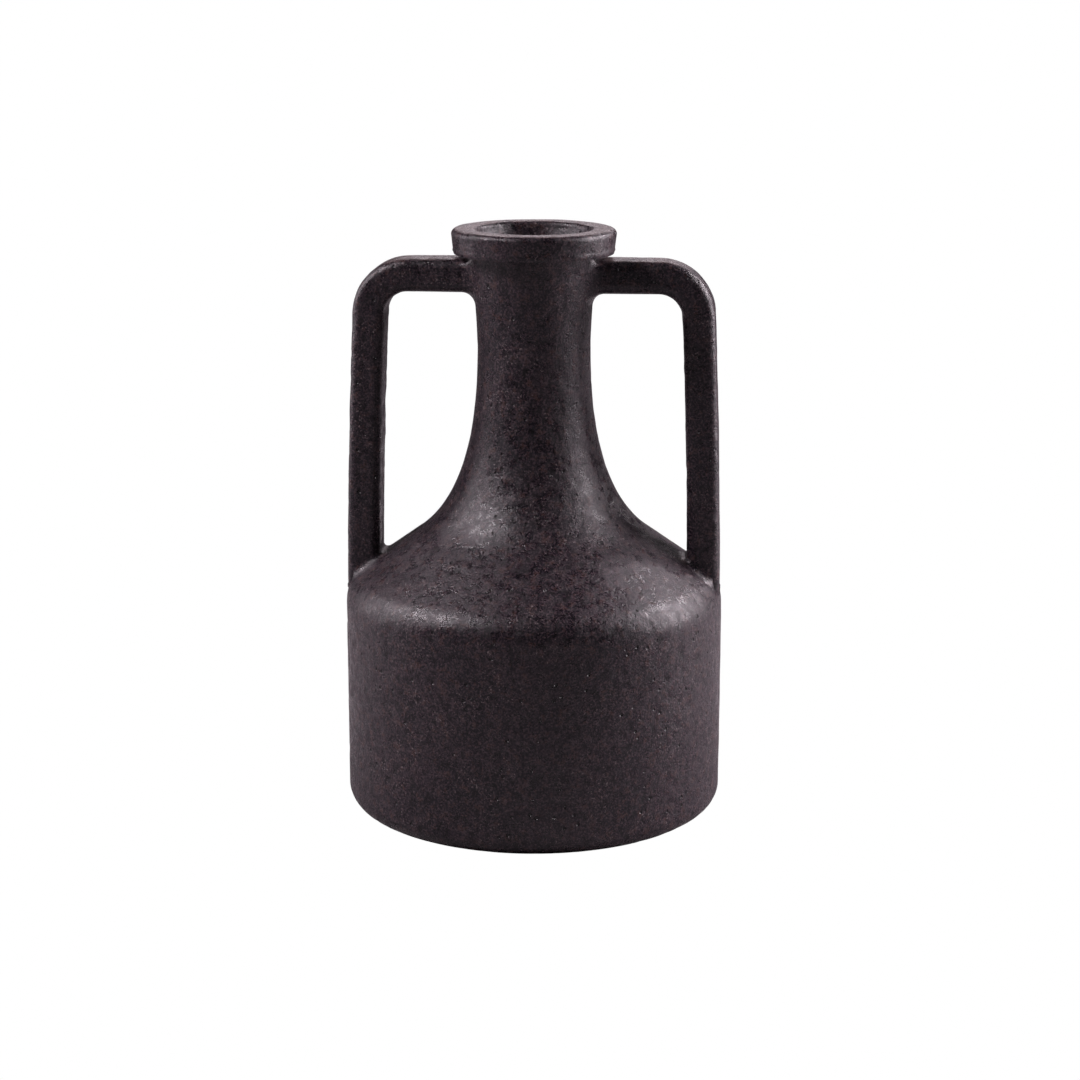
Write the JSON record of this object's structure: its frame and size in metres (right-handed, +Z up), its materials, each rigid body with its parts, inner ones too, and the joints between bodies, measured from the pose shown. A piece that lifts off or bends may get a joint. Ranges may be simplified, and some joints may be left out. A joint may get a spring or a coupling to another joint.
{
  "type": "two-handled vase",
  "caption": "Tall ceramic vase with a wide drum body, sloping shoulder, trumpet neck, thick lip and upright strap handles at both sides.",
  "frame": {"origin": "centre of the foot, on the surface that the vase stands on", "axes": "+Z up along the vase's axis, +X towards handle_right, -Y towards the front"},
  "size_m": [0.325, 0.325, 0.5],
  "materials": {
    "body_finish": "near-black purple-brown aged coat with a low sheen, fine grain and small pits",
    "lip_finish": "the same coat, rubbed lighter and browner on the rim's top",
    "handle_finish": "near-black aged coat, worn lighter on the edges",
    "bare_clay": "dull fired clay with a thin dark wash"
  },
  "bodies": {
    "root": {"floor_slab": "body_finish", "body_drum": "body_finish", "shoulder": "body_finish", "neck": "body_finish", "lip_collar": "lip_finish", "handle_left": "handle_finish", "handle_right": "handle_finish", "handle_left_neck_luting": "handle_finish", "handle_left_shoulder_luting": "handle_finish", "handle_right_neck_luting": "handle_finish", "handle_right_shoulder_luting": "handle_finish", "floor_seam_coil": "bare_clay", "shoulder_seam_coil": "bare_clay", "neck_seam_coil": "bare_clay"}
  },
  "joints": []
}
